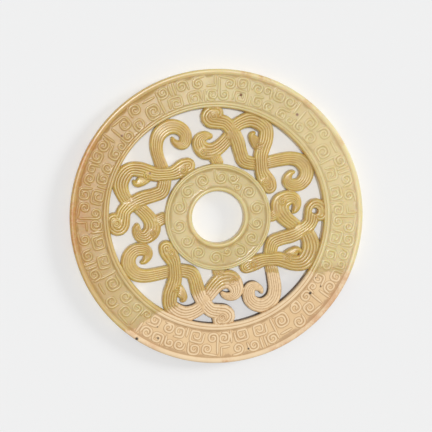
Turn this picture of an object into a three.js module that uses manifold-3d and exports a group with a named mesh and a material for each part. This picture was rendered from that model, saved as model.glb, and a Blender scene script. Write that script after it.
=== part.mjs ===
// Openwork jade disc (bi) with four interlaced dragons between a scroll-carved rim and a scroll-carved ring.
// It lies face up: millimetres, +Z out of the carved face, origin at the centre of the flat underside.
import * as THREE from "three";
import { mergeVertices } from "three/addons/utils/BufferGeometryUtils.js";
import Module from "manifold-3d";

const wasm = await Module();
wasm.setup();

// Driving dimensions, mm
const OUTER_R = 60;
const RIM_INNER_R = 44.2;
const RIM_OUT = 1.15; // the rim's opening isn't quite round: it reaches this much further out on one side
const RIM_OUT_TOWARDS = 318;
const RIM_TRUE_R = 50; // from here outwards the rim is round
const RING_OUTER_R = 21.7;
const HOLE_R = 11.1;
const THICKNESS = 5;
const LIP_WIDTH = 1.9; // plain raised border on both edges of the rim and the ring
const BAND_DEPTH = 0.3; // how far the scroll bands lie below the borders
const EDGE = 0.5; // how far every sawn wall stands out below its front edge
const EDGE_DEPTH = 1.5; // how deep below the face the walls reach that full width
const CHAMFER = 0.4; // softened corner of the outer edge
const UNDERCUT = 0.3; // the openwork's underside clears the surface that the disc lies on
const CREST = 4.85; // height of the limbs that pass over
const LOW_CREST = 4.55; // height of the limbs that pass under
const SCROLL_HEIGHT = 0.25; // how far a curled scroll stands above its band
const SCROLL_FOOT = 0.2; // how much wider a scroll is at band height than on top
const DRILL = { angle: 86.8, radius: 40.1, r: 1.1 }; // one small drilled hole, in a single scroll head

// Scrolls that lie curled on the bands, in rows round the disc; angles are degrees clockwise from +Y in one quarter.
const SCROLL_ROWS = [
  { radius: 55, r: 1.6, angles: [5, 11.5, 18.5, 26.5, 33.5, 44, 52, 59, 65, 73, 81, 87.5] },
  { radius: 50, r: 1.6, angles: [2.5, 11.5, 18, 24.5, 33, 41.5, 49.5, 58.5, 69, 77, 85] },
  { radius: 16.3, r: 2, angles: [5, 32, 55, 79] },
];

// Facets
const RIM_SEGMENTS = 80;
const RING_SEGMENTS = 40;
const SCROLL_SIDES = 6;
const LIMB_STEP = 1.2; // mm between stations along a limb
const CAP_STEPS = 4; // chords round a limb's end
const CHORD_ERROR = 0.1; // mm by which an outline's chords may miss its curve

// One quarter of the openwork. Each limb is a list of stations along its centre line:
// [degrees clockwise from +Y, radius, half width at the front edge].
// The quarters were carved by eye, so some limbs run differently in one or two of them: those are under varied.
const TIGHT_BODY = [[85, 25.8, 3.1], [90.6, 27.6, 2.8], [95.1, 30.6, 2.5], [99, 34.5, 2.3], [100.5, 37.4, 2.3]];
const TIGHT_JAW = [[85, 25.9, 3.1], [77.9, 26.5, 3.35], [75.2, 30, 2.6], [76.8, 32.4, 1.95], [80, 33.1, 1.45],
  [83.2, 32.8, 1.1], [85.5, 32, 0.75], [86.4, 31.4, 0.4]];
const LIMBS = {
  bodyLow: {
    crest: LOW_CREST,
    stations: [[82, 27.3, 2.9], [84, 27, 2.8], [90, 28.2, 2.5], [95, 30.8, 2.3], [99, 34.5, 2.2],
      [100.5, 37.4, 2.3]],
    varied: { 0: TIGHT_BODY, 1: TIGHT_BODY },
  },
  jawCurl: {
    crest: LOW_CREST,
    stations: [[85, 27, 2.7], [78.7, 27.5, 3], [75.3, 30.5, 2.5], [77, 32.7, 2], [81.3, 33.5, 1.35],
      [84, 33.1, 0.75]],
    varied: { 0: TIGHT_JAW, 1: TIGHT_JAW },
  },
  hindLeg: {
    crest: LOW_CREST,
    stations: [[85, 26, 2.2], [89.3, 22.4, 1.9]],
  },
  archAndPaw: {
    crest: CREST,
    stations: [[9, 34.2, 2.2], [10.5, 37.4, 2.3], [14, 39.9, 2.4], [18.8, 41.9, 2.8], [24, 42, 2.8],
      [28.5, 40.7, 2.5], [31.4, 37.4, 2.6], [32.9, 33.9, 2.6], [34.8, 30.7, 2.45], [38.9, 28, 2.25],
      [44.2, 25.8, 2.35], [49.6, 25, 2.8], [55.4, 24.8, 3], [59.5, 24.5, 2.6]],
    varied: {
      1: [[9, 34.2, 2.4], [10.5, 37.2, 2.7], [14, 39.3, 3], [18.8, 41, 3.4], [24, 41.2, 3.4], [28.3, 40, 3],
        [31.4, 37, 2.7], [32.9, 33.9, 2.6], [34.8, 30.7, 2.45], [38.9, 28, 2.2], [44.2, 25.7, 2.3],
        [49.4, 24.7, 2.6], [55.2, 23.9, 2.7], [60, 23.7, 2.3]],
    },
  },
  snout: {
    crest: CREST,
    stations: [[31, 33.4, 2.2], [27.5, 34, 1.9], [24.9, 34.7, 1.5], [22.6, 35.6, 0.9], [22.3, 36.5, 0.55],
      [23.1, 37.2, 0.25]],
  },
  crossLimb: {
    crest: CREST + 0.1,
    stations: [[36, 26.8, 2.2], [30.5, 25.6, 2.3], [24.5, 25.3, 2.4], [19, 27.8, 2.35], [14.5, 31.5, 2.5],
      [9.8, 35, 2.4], [4, 38.3, 2.5], [-0.8, 38.9, 2.7], [-5, 39.6, 2.8]],
  },
  scrollHead: {
    crest: CREST + 0.1,
    stations: [[-4, 39.4, 2.85], [-5.8, 40.8, 2.85], [-4, 42.3, 2.8], [-1.4, 42.3, 2.6]],
  },
  tailStem: {
    crest: LOW_CREST,
    stations: [[41.5, 29.2, 2], [47.6, 34.5, 2.2], [51.6, 38.3, 2.3], [55.6, 40.6, 2.5], [60, 41.4, 2.7],
      [63.6, 40.8, 2.55]],
    varied: {
      3: [[41, 29.8, 2], [46, 35.6, 2], [50, 39.2, 2.3], [54.4, 41.3, 2.5], [59.5, 41.9, 2.6], [63.4, 41.2, 2.5]],
    },
  },
  tailCurl: {
    crest: LOW_CREST,
    stations: [[62, 41.1, 2.6], [66.8, 39, 2.4], [68.5, 36.4, 2.25], [67.6, 33.8, 2.1], [65.1, 32.2, 1.9],
      [62.2, 32.2, 1.5], [60.2, 33.4, 1.1], [59.2, 34.8, 0.7], [59.5, 36, 0.3]],
    varied: {
      3: [[62, 41.5, 2.5], [66.4, 39.4, 2.35], [68.1, 36.9, 2.2], [67.4, 34.5, 2], [65.1, 33, 1.8],
        [62.4, 33.1, 1.4], [60.5, 34.3, 1.05], [59.5, 35.7, 0.7], [59.7, 36.9, 0.3]],
    },
  },
};

const JADE = new THREE.MeshStandardMaterial({
  name: "jade",
  color: 0xcdb37a,
  roughness: 0.34,
  metalness: 0,
});

const BAND_HEIGHT = THICKNESS - BAND_DEPTH;

// Polar place in the disc's plane, with the angle in degrees clockwise from +Y.
function place(angle, radius) {
  const a = THREE.MathUtils.degToRad(angle);
  return new THREE.Vector2(radius * Math.sin(a), radius * Math.cos(a));
}

function toSolid(geometry) {
  geometry.deleteAttribute("normal");
  geometry.deleteAttribute("uv");
  const merged = mergeVertices(geometry, 1e-4);
  return new wasm.Manifold(new wasm.Mesh({
    numProp: 3,
    vertProperties: merged.attributes.position.array,
    triVerts: new Uint32Array(merged.index.array),
  }));
}

function toGeometry(solid) {
  const mesh = solid.getMesh();
  const geometry = new THREE.BufferGeometry();
  geometry.setAttribute("position", new THREE.BufferAttribute(mesh.vertProperties, 3));
  geometry.setIndex(new THREE.BufferAttribute(mesh.triVerts, 1));
  geometry.computeVertexNormals();
  return geometry;
}

// The surface of a flat-backed ring turned about +Z: a plain border on both edges and a lowered band between them.
function turnedRing(inner, outer, segments) {
  const profile = [
    [inner - EDGE, 0],
    [outer, 0],
    [outer, THICKNESS - CHAMFER],
    [outer - CHAMFER, THICKNESS],
    [outer - LIP_WIDTH, THICKNESS],
    [outer - LIP_WIDTH - BAND_DEPTH, BAND_HEIGHT],
    [inner + LIP_WIDTH + BAND_DEPTH, BAND_HEIGHT],
    [inner + LIP_WIDTH, THICKNESS],
    [inner, THICKNESS],
    [inner - EDGE, THICKNESS - EDGE_DEPTH],
    [inner - EDGE, 0],
  ];
  const points = profile.map(([r, z]) => new THREE.Vector2(r, z));
  const geometry = new THREE.LatheGeometry(points, segments);
  geometry.rotateX(Math.PI / 2); // the lathe turns about +Y
  return geometry;
}

// The rim's opening drawn out on one side: by the square of the cosine of the angle from where it reaches furthest.
function drawnOut(geometry) {
  const position = geometry.attributes.position;
  for (let i = 0; i < position.count; i++) {
    const x = position.getX(i);
    const y = position.getY(i);
    const r = Math.hypot(x, y);
    const away = Math.atan2(x, y) - THREE.MathUtils.degToRad(RIM_OUT_TOWARDS);
    const shift = RIM_OUT * Math.max(0, Math.cos(away)) ** 2;
    const scale = 1 + (shift * Math.max(0, RIM_TRUE_R - r)) / (RIM_TRUE_R - RIM_INNER_R) / r;
    position.setXY(i, x * scale, y * scale);
  }
  return geometry;
}

// Stations evenly spaced along a limb in one quarter; each is a point with the half width as its z.
function stationsAlong(limb, quarter) {
  const stations = limb.varied?.[quarter] ?? limb.stations;
  const knots = stations.map(([angle, radius, half]) => {
    const p = place(angle + 90 * quarter, radius);
    return new THREE.Vector3(p.x, p.y, half + EDGE);
  });
  const curve = new THREE.CatmullRomCurve3(knots, false, "centripetal");
  const count = Math.ceil(curve.getLength() / LIMB_STEP);
  return curve.getSpacedPoints(count);
}

// The outline swept by a disc that runs along the stations and changes its radius on the way.
function limbOutline(stations) {
  const left = [];
  const right = [];
  stations.forEach((s, i) => {
    const before = stations[Math.max(i - 1, 0)];
    const after = stations[Math.min(i + 1, stations.length - 1)];
    const heading = Math.atan2(after.y - before.y, after.x - before.x);
    const side = new THREE.Vector2(-Math.sin(heading), Math.cos(heading)).multiplyScalar(s.z);
    left.push(new THREE.Vector2(s.x + side.x, s.y + side.y));
    right.push(new THREE.Vector2(s.x - side.x, s.y - side.y));
  });
  const cap = (station, from) => {
    const start = Math.atan2(from.y - station.y, from.x - station.x);
    return Array.from({ length: CAP_STEPS - 1 }, (_, k) => {
      const a = start - (Math.PI * (k + 1)) / CAP_STEPS;
      return new THREE.Vector2(station.x + station.z * Math.cos(a), station.y + station.z * Math.sin(a));
    });
  };
  const last = stations.at(-1);
  const around = [...left, ...cap(last, left.at(-1)), ...right.reverse(), ...cap(stations[0], right.at(-1))];
  const clear = (p) => stations.every((s) => Math.hypot(p.x - s.x, p.y - s.y) > s.z - 0.06);
  return thinned(around.filter(clear));
}

// The same outline with fewer points: a point goes when the chord past it stays close to the points it skips.
function thinned(points) {
  const kept = [points[0]];
  let from = 0;
  for (let to = 2; to <= points.length; to++) {
    const chord = new THREE.Line3(
      new THREE.Vector3(points[from].x, points[from].y, 0),
      new THREE.Vector3(points[to % points.length].x, points[to % points.length].y, 0),
    );
    const miss = points.slice(from + 1, to).map((p) => {
      const at = new THREE.Vector3(p.x, p.y, 0);
      return chord.closestPointToPoint(at, true, new THREE.Vector3()).distanceTo(at);
    });
    if (Math.max(...miss) > CHORD_ERROR) {
      from = to - 1;
      kept.push(points[from]);
    }
  }
  return kept;
}

// A limb with its edges bevelled above and below. The lower bevel lies under the disc and is trimmed off.
function limbSolid(limb, quarter) {
  const shape = new THREE.Shape(limbOutline(stationsAlong(limb, quarter)));
  const geometry = new THREE.ExtrudeGeometry(shape, {
    depth: limb.crest - EDGE_DEPTH,
    steps: 1,
    bevelEnabled: true,
    bevelSegments: 1,
    bevelThickness: EDGE_DEPTH,
    bevelSize: EDGE,
    bevelOffset: -EDGE,
  });
  return toSolid(geometry);
}

// Everything under the openwork, down past the lower bevels.
function trimSolid() {
  const geometry = new THREE.BoxGeometry(4 * OUTER_R, 4 * OUTER_R, 2 * THICKNESS);
  geometry.translate(0, 0, UNDERCUT - THICKNESS);
  return toSolid(geometry);
}

function scrollSolid(angle, radius, r) {
  const p = place(angle, radius);
  const height = 2 * SCROLL_HEIGHT; // the lower half is sunk in the band
  const geometry = new THREE.CylinderGeometry(r, r + 2 * SCROLL_FOOT, height, SCROLL_SIDES);
  geometry.rotateX(Math.PI / 2);
  geometry.rotateZ(-THREE.MathUtils.degToRad(angle));
  geometry.translate(p.x, p.y, BAND_HEIGHT);
  return toSolid(geometry);
}

function drillSolid() {
  const p = place(DRILL.angle, DRILL.radius);
  const geometry = new THREE.CylinderGeometry(DRILL.r, DRILL.r, THICKNESS * 2, 16);
  geometry.rotateX(Math.PI / 2);
  geometry.translate(p.x, p.y, THICKNESS / 2);
  return toSolid(geometry);
}

function jadeDisc() {
  const quarters = [0, 1, 2, 3];
  const limbs = quarters.flatMap((quarter) => Object.values(LIMBS).map((limb) => limbSolid(limb, quarter)));
  const openwork = limbs.reduce((joined, limb) => joined.add(limb)).subtract(trimSolid());
  const rings = [
    toSolid(drawnOut(turnedRing(RIM_INNER_R, OUTER_R, RIM_SEGMENTS))),
    toSolid(turnedRing(HOLE_R, RING_OUTER_R, RING_SEGMENTS)),
  ];
  const scrolls = quarters.flatMap((quarter) =>
    SCROLL_ROWS.flatMap((row) => row.angles.map((angle) => scrollSolid(angle + 90 * quarter, row.radius, row.r))),
  );
  const disc = [...rings, ...scrolls].reduce((joined, piece) => joined.add(piece), openwork).subtract(drillSolid());
  const mesh = new THREE.Mesh(toGeometry(disc), JADE);
  mesh.name = "jade_disc";
  return mesh;
}

const part = new THREE.Group();
part.add(jadeDisc());

export default part;
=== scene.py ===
"""A jade bi disc: an openwork band of four coiling dragons between a rim and an inner ring, both carved
with scrolls. The disc lies on its back with its carved face up. Lengths are in millimetres until a mesh is
made."""

import math
from collections import namedtuple

import bpy
import numpy as np
from mathutils import Matrix, Vector
from mathutils.geometry import delaunay_2d_cdt


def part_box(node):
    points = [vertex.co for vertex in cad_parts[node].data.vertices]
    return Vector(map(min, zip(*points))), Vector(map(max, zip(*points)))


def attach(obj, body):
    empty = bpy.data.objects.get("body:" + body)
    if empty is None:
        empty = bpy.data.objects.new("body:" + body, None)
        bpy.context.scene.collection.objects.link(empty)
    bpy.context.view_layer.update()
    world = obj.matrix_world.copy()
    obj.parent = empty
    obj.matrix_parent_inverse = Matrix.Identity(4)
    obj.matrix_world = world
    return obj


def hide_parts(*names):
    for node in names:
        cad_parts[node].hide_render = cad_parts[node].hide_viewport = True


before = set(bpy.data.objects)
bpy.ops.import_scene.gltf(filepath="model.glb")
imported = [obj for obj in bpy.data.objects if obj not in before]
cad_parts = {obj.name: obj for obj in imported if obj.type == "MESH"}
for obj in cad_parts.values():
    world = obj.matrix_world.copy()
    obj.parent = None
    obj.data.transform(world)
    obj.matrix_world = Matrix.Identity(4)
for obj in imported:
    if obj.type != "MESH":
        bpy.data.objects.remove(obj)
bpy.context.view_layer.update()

MM = 0.001
NODE = "jade_disc"
BOX_LOW, BOX_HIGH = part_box(NODE)

# The disc as a whole
OUTER_R = (BOX_HIGH.x - BOX_LOW.x) / 2 / MM
THICKNESS = (BOX_HIGH.z - BOX_LOW.z) / MM
RIM_INNER_R = 44.2
RIM_OUT = 1.15              # the rim's opening isn't quite round: it lies this much further out on one side
RIM_OUT_TOWARDS = 318       # degrees clockwise from +Y
RIM_TRUE_R = 50             # from here outwards the rim is round
RING_OUTER_R = 21.7
HOLE_R = 11.1

# The edges of the openwork: rounded over in front, standing out a little lower down
EDGE = 0.5
EDGE_DEPTH = 1.5
ROUNDED = 0.4               # how far inside a limb's half width the rounding starts
FOOT = 0.22                 # where an upper limb's rounded edge meets the limb below
WALL_TOP = THICKNESS - EDGE_DEPTH
UNDERCUT = 0.3              # the openwork's underside clears the surface that the disc lies on

# Borders and bands of the two rings
LIP_WIDTH = 1.9
BAND_DEPTH = 0.28
RING_LIP = 1.25             # the inner ring's border at the central hole
RING_OUTER_LIP = 1.5        # and the one beside the openwork
LINE_DEPTH = 0.14
LINE_HALF = 0.2
RIM_LINE = 0.75             # where the line along the rim's inner border starts
SLOPE = 0.3

# Scrolls in relief on the bands
RIDGE_HALF = 0.5
RIDGE_RISE = 0.22
RIDGE_TIP = 0.6             # a ridge's width at its tips, as a share, and the points it narrows over
RIDGE_TAPER = 3
RIDGE_FOOT = 0.24           # the painted shade line along a ridge is this wide on both sides of its foot
RING_SHARE = 0.9            # the inner ring's scrolls are this much as wide and as high
CURL_END = 0.26             # a curl ends at this share of the size it starts with
RIM_LIMITS = (RIM_INNER_R + LIP_WIDTH + 1.4, OUTER_R - LIP_WIDTH - 0.9)     # scrolls stay between these
RING_LIMITS = (HOLE_R + LIP_WIDTH - 0.3, RING_OUTER_R - LIP_WIDTH)

# Limbs
CREST = THICKNESS - 0.12
LOW_CREST = THICKNESS - 0.5
CROWN = 0.16
GROOVE_DEPTH = 0.17
GROOVES = (0.2, 0.6)        # where the grooves run, as shares of the half width
GROOVE_HALF = 0.1
GROOVED_FROM = 0.9          # where the half width is less than this there are no grooves,
GROOVED_FADE = 0.8          # and where it's this much more they have their full depth
CUT_DEPTH = 0.16            # a limb is cut down beside the one that passes over it
CUT_REACH = 0.9
CUT_ABOVE = WALL_TOP + 0.2  # only what is higher than this is cut down
OVER = 0.12                 # a crest passes over another that is this much lower
RINGS_CREST = THICKNESS + 0.1           # and both rings over every limb

# Spacing of the points
LIMB_STEP = 0.55
CAP_POINTS = 9
RIDGE_STEP = 0.42
RIDGE_SHARES = (0.5, 1.0)
RIDGE_CAP_POINTS = 3
RIDGE_CLEAR = 0.35          # the bands' plain ground has no points this near to a ridge's foot
CIRCLE_STEP = 0.6
# Rows round a limb: at shares of its half width, and at distances beyond it
FRONT_SHARES = (0.1, 0.2, 0.3, 0.5, 0.6, 0.7, 0.86, 1.0)
FRONT_BEYOND = (0.18, FOOT, EDGE)
LEAN_LIMIT = 0.9            # rows lean back no more than this where the half width grows
FOLD = 0.04                 # a row that folds over itself is left out where it lies this much too near
FOOT_STEP = 0.2             # rows by an edge are kept where they're at most this far below another layer
KEEP_OFF = 0.14             # rows end this far before the foot of a limb that passes over
SPECK = 0.3                 # mm2
WELL_INSIDE = 0.08          # a doubtful face's middle lies this far inside the outline, or is no stone
FAR_BELOW = -9              # stands for the height of a layer that isn't there
ON_EDGE = 0.01              # a point of the outline this near to a ring's outer edge lies on it
CORNER_REACH = 0.35         # two outlines' corners this near to each other are one
SAME = 0.002                # points this near to each other are one
LEAST = 1e-6                # lengths less than this count as nothing, and turns less than LEAST_TURN
LEAST_TURN = 1e-9
TOUCH = 0.001               # allowance where a layer ends
LIMB_REACH = 2.0            # how far from a limb's edge its surface is worked out,
RIDGE_REACH = 1.0           # and from a ridge's
CURVE_SAMPLES = 24          # points on each span of a curve, before they are spaced evenly
CURL_SAMPLES = 60
TAIL_SAMPLES = 12
BAND_STEP = 1.3             # spacing of the points on the plain ground of the bands
BACK_STEP = 1.2
DRILL_STEP = 0.3

# Dirt in the hollows, painted shade along the ridges' feet and a painted highlight on the ridges, as the
# mesh hands them to the stone: rounds of averaging, and strengths
HOLLOW_ROUNDS = 3
HOLLOW_OWN = 0.3            # in each round a point keeps this share of its own height
# Strengths of the painted shade along a ridge's foot and of the painted highlight on the ridges
PAINTED_FOOT_SHADE = 0.08
PAINTED_RIDGE_HIGHLIGHT = 0.07

SHARP_ANGLE = 52            # degrees
UNEVEN = 0.03               # how far the face rises and falls from grinding by hand

# The camera, and the light: degrees, sun strength, and the world's strength
DISTANCE = 600
VIEW_FROM = (-0.138, 0.1, 0.985)
ROLL = 0.32
AIM = (-1.0, 0.6, 5.0)
LENS = 123.3
SENSOR_WIDTH = 36
FAR_CLIP = 10               # metres
TOP_AZIMUTH = 110
TOP_HEIGHT = 83
TOP_SOFTNESS = 8
TOP_STRENGTH = 1.95
KEY_AZIMUTH = 20
KEY_HEIGHT = 24
KEY_SOFTNESS = 16
KEY_STRENGTH = 0.95
FILL_STRENGTH = 0.26
FLOOR_COLOUR = (0.87, 0.872, 0.874, 1)
FLOOR_HALF = 3.0            # metres
FLOOR_DROP = 0.0001         # the floor lies this far below the disc, in metres

# One quarter of the openwork. A limb is a row of (degrees clockwise from +Y, radius, half width at the
# front edge), with its crest height where it starts and where it ends, and how deeply it is grooved. The
# higher crest passes over. The quarters were carved by eye, so some limbs run differently in one or two of
# them: those are under `varied`.
Limb = namedtuple("Limb", "crests grooved stations varied", defaults=({},))
TIGHT_JAW = [
    (100.5, 37.4, 2.3), (99, 34.5, 2.3), (95.1, 30.6, 2.5), (90.6, 27.6, 2.8), (84.4, 26, 3.2),
    (77.9, 26.5, 3.35), (75.2, 30, 2.6), (76.8, 32.4, 1.95), (80, 33.1, 1.45), (83.2, 32.8, 1.1),
    (85.5, 32, 0.75), (86.4, 31.4, 0.4)]
LIMBS = {
    "body_and_jaw": Limb((LOW_CREST, LOW_CREST), 0.9, [
        (100.5, 37.4, 2.3), (99, 34.5, 2.2), (95, 30.8, 2.3), (90, 28.2, 2.5), (84.5, 27, 2.8),
        (78.7, 27.5, 3), (75.3, 30.5, 2.5), (77, 32.7, 2), (81.3, 33.5, 1.35), (84, 33.1, 0.75)],
        {0: TIGHT_JAW, 1: TIGHT_JAW}),
    "hind_leg": Limb((LOW_CREST - 0.1, LOW_CREST - 0.05), 0.6, [
        (85, 26, 2.2), (89.3, 22.4, 1.9)]),
    "arch_and_paw": Limb((CREST - 0.2, CREST), 1.0, [
        (9, 34.2, 2.2), (10.5, 37.4, 2.3), (14, 39.9, 2.4), (18.8, 41.9, 2.8), (24, 42, 2.8),
        (28.5, 40.7, 2.5), (31.4, 37.4, 2.6), (32.9, 33.9, 2.6), (34.8, 30.7, 2.45), (38.9, 28, 2.25),
        (44.2, 25.8, 2.35), (49.6, 25, 2.8), (55.4, 24.8, 3), (59.5, 24.5, 2.6)],
        {1: [
            (9, 34.2, 2.4), (10.5, 37.2, 2.7), (14, 39.3, 3), (18.8, 41, 3.4), (24, 41.2, 3.4),
            (28.3, 40, 3), (31.4, 37, 2.7), (32.9, 33.9, 2.6), (34.8, 30.7, 2.45), (38.9, 28, 2.2),
            (44.2, 25.7, 2.3), (49.4, 24.7, 2.6), (55.2, 23.9, 2.7), (60, 23.7, 2.3)]}),
    "snout": Limb((CREST - 0.3, CREST - 0.15), 0.4, [
        (31, 33.4, 2.2), (27.5, 34, 1.9), (24.9, 34.7, 1.5), (22.6, 35.6, 0.9), (22.3, 36.5, 0.55),
        (23.1, 37.2, 0.25)]),
    "cross_limb_and_head": Limb((LOW_CREST, CREST + 0.1), 1.0, [
        (36, 26.8, 2.2), (30.5, 25.6, 2.3), (24.5, 25.3, 2.4), (19, 27.8, 2.35), (14.5, 31.5, 2.5),
        (9.8, 35, 2.4), (4, 38.3, 2.5), (-0.8, 38.9, 2.7), (-4.4, 39.5, 2.85), (-5.8, 40.8, 2.85),
        (-4, 42.3, 2.8), (-1.4, 42.3, 2.6)]),
    "tail": Limb((LOW_CREST, LOW_CREST), 0.7, [
        (41.5, 29.2, 2), (47.6, 34.5, 2.2), (51.6, 38.3, 2.3), (55.6, 40.6, 2.5), (60, 41.4, 2.7),
        (63.6, 40.8, 2.55), (66.8, 39, 2.4), (68.5, 36.4, 2.25), (67.6, 33.8, 2.1), (65.1, 32.2, 1.9),
        (62.2, 32.2, 1.5), (60.2, 33.4, 1.1), (59.2, 34.8, 0.7), (59.5, 36, 0.3)],
        {3: [
            (41, 29.8, 2), (46, 35.6, 2), (50, 39.2, 2.3), (54.4, 41.3, 2.5), (59.5, 41.9, 2.6),
            (63.4, 41.2, 2.5), (66.4, 39.4, 2.35), (68.1, 36.9, 2.2), (67.4, 34.5, 2), (65.1, 33, 1.8),
            (62.4, 33.1, 1.4), (60.5, 34.3, 1.05), (59.5, 35.7, 0.7), (59.7, 36.9, 0.3)]}),
}

# A small drilled hole through one coil, where the other quarters have an eye
DRILLED_QUARTER = 1
DRILL_ANGLE = 86.8
DRILL_RADIUS = 40.1
DRILL_R = 1.1
DRILL_BEVEL = 0.45
DRILL_CLEAR = 0.1           # other points keep this far from its bevel,
DRILL_BACK_CLEAR = 0.2      # and this far from the hole on the underside

# Scrolls: degrees, radius and size of the curl, the degrees round it where its line starts (0 clockwise
# along the band, 90 outwards), its turns with their sense, how square it is, and the straight tail that
# leads in
Scroll = namedtuple("Scroll", "angle radius size start turns square tail")
RIM_SCROLLS = [Scroll(*row) for row in (
    (4.6, 54.3, 2.1, 90, -1.5, 0.1, 4.2), (2.3, 49.7, 2.1, 180, 1.4, 0.1, 2.0),
    (10.2, 54.9, 2.5, 0, 1.5, 0.2, 2.4), (10.2, 49.3, 3.0, 180, -1.5, 0.9, 1.2),
    (17.0, 54.4, 2.2, 180, -1.4, 0.1, 0.8), (18.7, 49.3, 2.2, 90, 1.4, 0.3, 1.6),
    (21.3, 54.8, 1.7, 0, 1.2, 0.3, 2.4), (26.9, 55.1, 2.4, 180, 1.5, 0.3, 2.0),
    (24.2, 49.3, 2.2, 270, -1.5, 0.1, 1.8), (32.0, 55.0, 2.4, 0, -1.5, 0.1, 1.2),
    (31.6, 49.0, 2.4, 90, 1.4, 0.2, 2.4), (44.6, 53.6, 2.6, 90, -1.5, 0.3, 4.0),
    (42.0, 49.3, 2.2, 180, 1.4, 0.1, 1.0), (36.4, 48.8, 1.7, 0, -1.2, 0.2, 1.8),
    (52.0, 55.0, 2.4, 180, -1.5, 0.1, 1.6), (49.6, 49.4, 2.6, 270, -1.5, 0.2, 0.6),
    (58.4, 50.4, 3.1, 270, -1.9, 0.2, 2.4), (65.5, 55.2, 2.4, 180, 1.5, 0.2, 1.2),
    (69.6, 49.3, 2.9, 180, -1.5, 0.9, 1.2), (74.0, 55.0, 2.3, 0, 1.5, 0.1, 1.8),
    (78.3, 49.2, 2.9, 0, 1.6, 0.9, 1.2), (81.0, 54.8, 2.2, 90, 1.5, 0.0, 2.6),
    (87.0, 49.7, 2.4, 270, -1.5, 0.2, 0.6))]
# Straight bars between the scrolls: (degrees, radius) at both ends
RIM_BARS = [
    ((0, 49.6), (0, 56.3)), ((14.8, 46.9), (14.8, 50.4)), ((35.9, 52.2), (35.9, 57.4)),
    ((39.6, 49.6), (39.6, 56)), ((56.4, 55.4), (61.4, 55.2)), ((62.8, 47.2), (62.8, 53.8)),
    ((68.7, 52.8), (68.7, 57.2)), ((70.6, 52.8), (70.6, 57.4)), ((83.5, 47), (83.5, 51.8)),
    ((88.3, 53.6), (88.3, 57.2)), ((84.8, 53.4), (88.3, 53.6)),
]
# The inner ring's scrolls, all the way round
RING_SCROLLS = [Scroll(*row) for row in (
    (3.8, 16.3, 2.5, 180, 1.6, 0.0, 2.6), (20.5, 17.0, 2.0, 0, -1.3, 0.0, 1.2),
    (31.5, 14.5, 1.6, 135, -1.2, 0.0, 1.8), (50.8, 16.2, 2.7, 225, -1.8, 0.0, 2.6),
    (76.8, 16.3, 2.7, 135, 1.8, 0.0, 2.2), (99.0, 16.0, 2.4, 315, 1.6, 0.0, 2.4),
    (121.8, 16.2, 2.7, 45, -1.8, 0.0, 3.0), (146.6, 16.5, 2.6, 225, -1.7, 0.0, 2.4),
    (165.0, 14.5, 1.6, 45, 1.2, 0.0, 2.8), (183.0, 16.4, 2.7, 180, 1.8, 0.0, 1.6),
    (209.0, 16.4, 2.7, 45, -1.8, 0.0, 2.6), (233.0, 16.0, 2.5, 225, -1.6, 0.0, 2.6),
    (257.8, 16.3, 2.7, 135, 1.8, 0.0, 2.0), (284.6, 16.4, 2.7, 315, -1.7, 0.0, 2.6),
    (310.0, 16.3, 2.6, 45, 1.7, 0.0, 2.2), (336.5, 16.3, 2.7, 225, -1.7, 0.0, 2.6))]
# Eyes and joint curls on the limbs of each quarter
EYES = [Scroll(*row) for row in (
    (30.2, 33.4, 1.35, 90, 1.3, 0.0, 0.9), (53.5, 24.0, 1.35, 0, -1.2, 0.0, 1.0),
    (76.6, 27.2, 1.45, 200, 1.2, 0.0, 1.2), (-2.6, 41.2, 1.4, 180, 1.3, 0.0, 1.0))]
EYE_RIDGE = 0.3
EYE_RISE = 0.2
EYE_STEP = RIDGE_STEP * 0.75
EYE_CLEAR = 2.1             # grooves start to fade this near to an eye
EYE_FADE = 0.5


def place(angle, radius):
    """The point at an angle in degrees clockwise from +Y: (radius sin angle, radius cos angle)."""
    a = np.radians(angle)
    return np.stack([radius * np.sin(a), radius * np.cos(a)], axis=-1)


def lengths_along(path):
    """The length run so far at each point of a path."""
    return np.concatenate([[0.0], np.cumsum(np.linalg.norm(np.diff(path[:, :2], axis=0), axis=1))])


def spaced(path, step):
    """The path again with evenly spaced points: every column is interpolated over the length run so far."""
    run = lengths_along(path)
    count = max(2, int(np.ceil(run[-1] / step)) + 1)
    at = np.linspace(0.0, run[-1], count)
    return np.stack([np.interp(at, run, column) for column in path.T], axis=1)


def smooth_path(knots, step):
    """A centripetal Catmull-Rom curve through the knots, with points a step apart. Each knot's time is the
    last one's plus the square root of the distance, and each span blends its four knots by three rounds of
    straight mixing."""
    ends = np.vstack([2 * knots[0] - knots[1], knots, 2 * knots[-1] - knots[-2]])
    time = np.concatenate([[0.0], np.cumsum(np.sqrt(np.linalg.norm(np.diff(ends, axis=0), axis=1)))])
    share = np.linspace(0.0, 1.0, CURVE_SAMPLES + 1)[:-1]
    pieces = []
    for k in range(len(knots) - 1):
        t0, t1, t2, t3 = time[k:k + 4]
        p0, p1, p2, p3 = ends[k:k + 4]
        t = (t1 + share * (t2 - t1))[:, None]
        a1 = ((t1 - t) * p0 + (t - t0) * p1) / (t1 - t0)
        a2 = ((t2 - t) * p1 + (t - t1) * p2) / (t2 - t1)
        a3 = ((t3 - t) * p2 + (t - t2) * p3) / (t3 - t2)
        b1 = ((t2 - t) * a1 + (t - t0) * a2) / (t2 - t0)
        b2 = ((t3 - t) * a2 + (t - t1) * a3) / (t3 - t1)
        pieces.append(((t2 - t) * b1 + (t - t1) * b2) / (t2 - t1))
    return spaced(np.vstack(pieces + [knots[-1:]]), step)


def sides(path):
    """Unit vectors across the path at each point: the heading between its neighbours, turned a quarter to
    the left."""
    heading = np.gradient(path[:, :2], axis=0)
    heading /= np.linalg.norm(heading, axis=1)[:, None]
    return np.stack([-heading[:, 1], heading[:, 0]], axis=1)


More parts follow.
